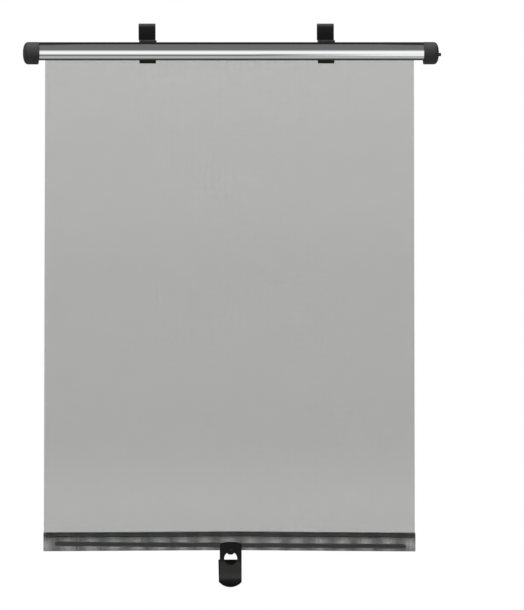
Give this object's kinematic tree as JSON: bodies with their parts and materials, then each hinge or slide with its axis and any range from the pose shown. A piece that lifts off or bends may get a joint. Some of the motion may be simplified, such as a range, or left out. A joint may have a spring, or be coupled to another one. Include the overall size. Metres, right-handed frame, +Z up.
{
  "type": "car side window sunshade",
  "caption": "Spring roller sunshade for a car side window, in a chromed channel, with sliding glass hooks, a mesh cloth and a pull tab.",
  "frame": {"origin": "level with the glass edge under the hooks, at the middle of the channel's length, in the channel's own axis plane", "axes": "+X along the channel, +Z up, the front faces -Y"},
  "size_m": [0.4551, 0.035, 0.6116],
  "materials": {
    "chromed_metal": "bright drawn chrome with faint lengthwise streaks",
    "black_plastic": "fine satin grain",
    "hook_plastic": "smooth satin",
    "tab_plastic": "smooth satin",
    "bar_plastic": "smooth",
    "roller_metal": "drawn",
    "pin_steel": "plain",
    "bearing_plastic": "moulded",
    "mesh_cloth": "open black mesh that looks light grey over white",
    "hem_cloth": "doubled black mesh, sewn"
  },
  "bodies": {
    "cassette": {"cassette_channel": "chromed_metal", "left_end_cap": "black_plastic", "right_end_cap": "black_plastic", "idler_pin": "pin_steel", "spring_arbor": "pin_steel", "spring_hub": "bearing_plastic", "torsion_spring": "pin_steel", "shade_cloth": "mesh_cloth"},
    "roller": {"roller_tube": "roller_metal", "idler_plug": "bearing_plastic", "arbor_bush": "bearing_plastic", "spring_anchor": "bearing_plastic", "cloth_roll": "mesh_cloth"},
    "hem": {"hem_sleeve": "hem_cloth", "hem_bar": "bar_plastic", "pull_tab": "tab_plastic", "tab_clamp": "tab_plastic", "tab_rivet": "tab_plastic"},
    "left_hook": {"window_hook_left": "hook_plastic"},
    "right_hook": {"window_hook_right": "hook_plastic"}
  },
  "joints": [
    {"name": "hem_slide", "type": "slide", "parent": "cassette", "child": "hem", "axis": [0, 0, 1], "range_m": [0, 0.503], "deforming": ["shade_cloth"]},
    {"name": "roller_spin", "type": "hinge", "parent": "cassette", "child": "roller", "pos_m": [0, 0, -0.032], "axis": [-1, 0, 0], "range_deg": [0, 3900]},
    {"name": "left_hook_slide", "type": "slide", "parent": "cassette", "child": "left_hook", "axis": [1, 0, 0], "range_m": [-0.1, 0.08]},
    {"name": "right_hook_slide", "type": "slide", "parent": "cassette", "child": "right_hook", "axis": [1, 0, 0], "range_m": [-0.08, 0.09]}
  ],
  "couplings": [
    {"joint": "roller_spin", "follows": "hem_slide", "rad_per_m": 134.6}
  ]
}
